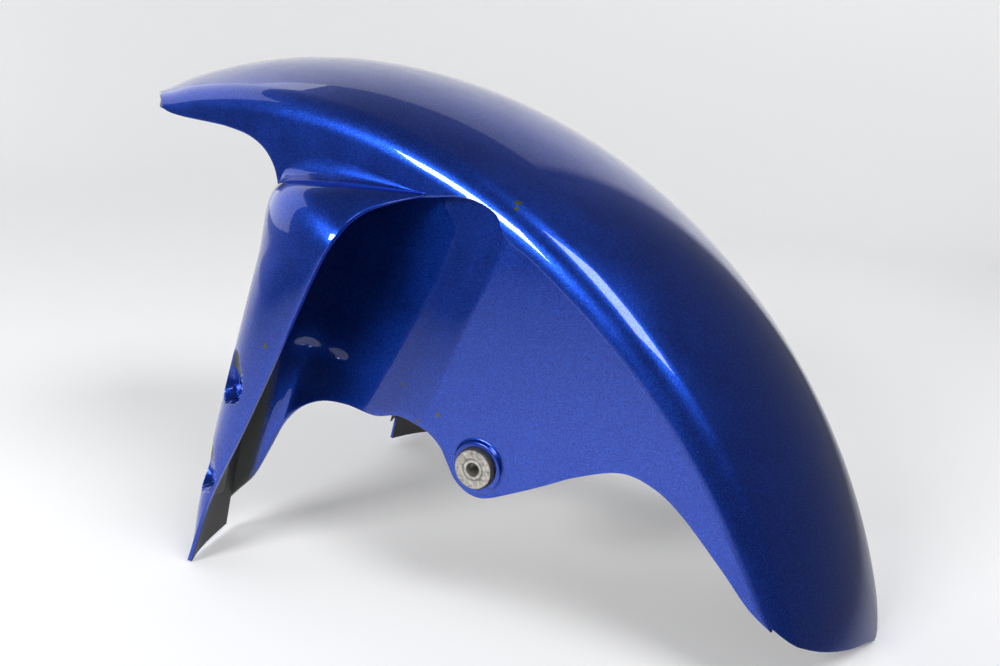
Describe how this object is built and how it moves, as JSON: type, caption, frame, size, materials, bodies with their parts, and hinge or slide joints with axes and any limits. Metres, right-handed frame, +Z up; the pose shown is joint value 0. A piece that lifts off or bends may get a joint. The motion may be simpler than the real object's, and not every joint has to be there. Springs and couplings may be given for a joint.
{
  "type": "motorcycle front mudguard",
  "caption": "Moulded front mudguard for a road motorcycle: a domed crown over the tyre, flat side panels, and a curved guard in front of each fork leg.",
  "frame": {"origin": "on the standing plane, under the middle of the shell's length and width; the tail and the tips of both fork guards stand on that plane", "axes": "+X rearwards along the motorcycle, +Y to its right, +Z up"},
  "size_m": [0.4378, 0.2322, 0.2507],
  "materials": {
    "paint": "metallic blue paint under clear coat, on a moulded plastic shell",
    "grommet_rubber": "matt black",
    "zinc": "dull mottled zinc plate"
  },
  "bodies": {
    "root": {"mudguard_shell": "paint", "left_grommet": "grommet_rubber", "right_grommet": "grommet_rubber", "left_collar": "zinc", "right_collar": "zinc"}
  },
  "joints": []
}
